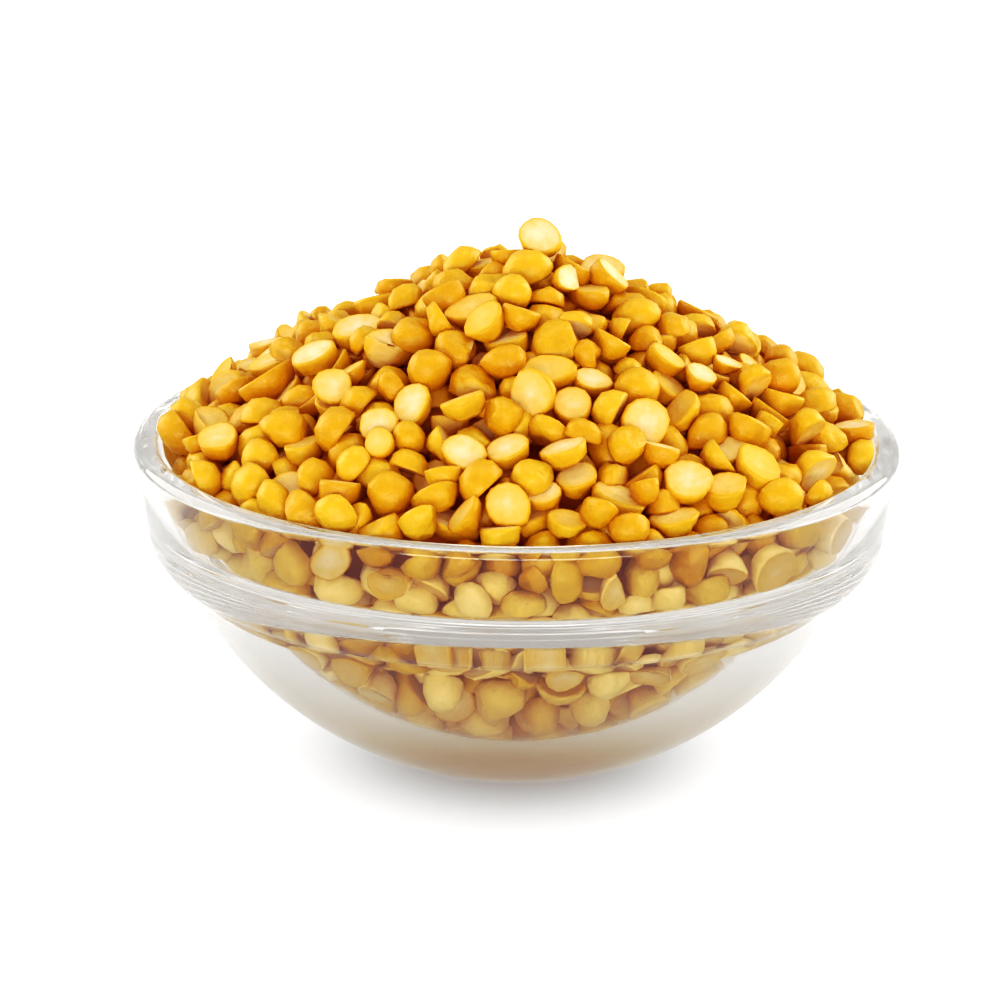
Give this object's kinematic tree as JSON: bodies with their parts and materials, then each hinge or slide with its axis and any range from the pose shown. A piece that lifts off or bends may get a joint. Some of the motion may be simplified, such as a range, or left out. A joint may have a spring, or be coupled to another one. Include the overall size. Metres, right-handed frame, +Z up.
{
  "type": "bowl of chana dal",
  "caption": "Clear thick-walled glass bowl with a stacking shoulder and round base, heaped above its rim with dry chana dal: golden split chickpeas, flat on one face and domed on the other.",
  "frame": {"origin": "centre of the bowl's flat foot, on the surface that it stands on", "axes": "+Z up along the bowl's axis, -Y towards the picture's camera, +X to the right in the picture"},
  "size_m": [0.12, 0.12, 0.0863],
  "materials": {
    "glass": "clear, smooth pressed glass",
    "dal": "dry golden yellow with a faint sheen"
  },
  "bodies": {
    "root": {"glass_bowl": "glass", "dal_heap": "dal"}
  },
  "joints": []
}
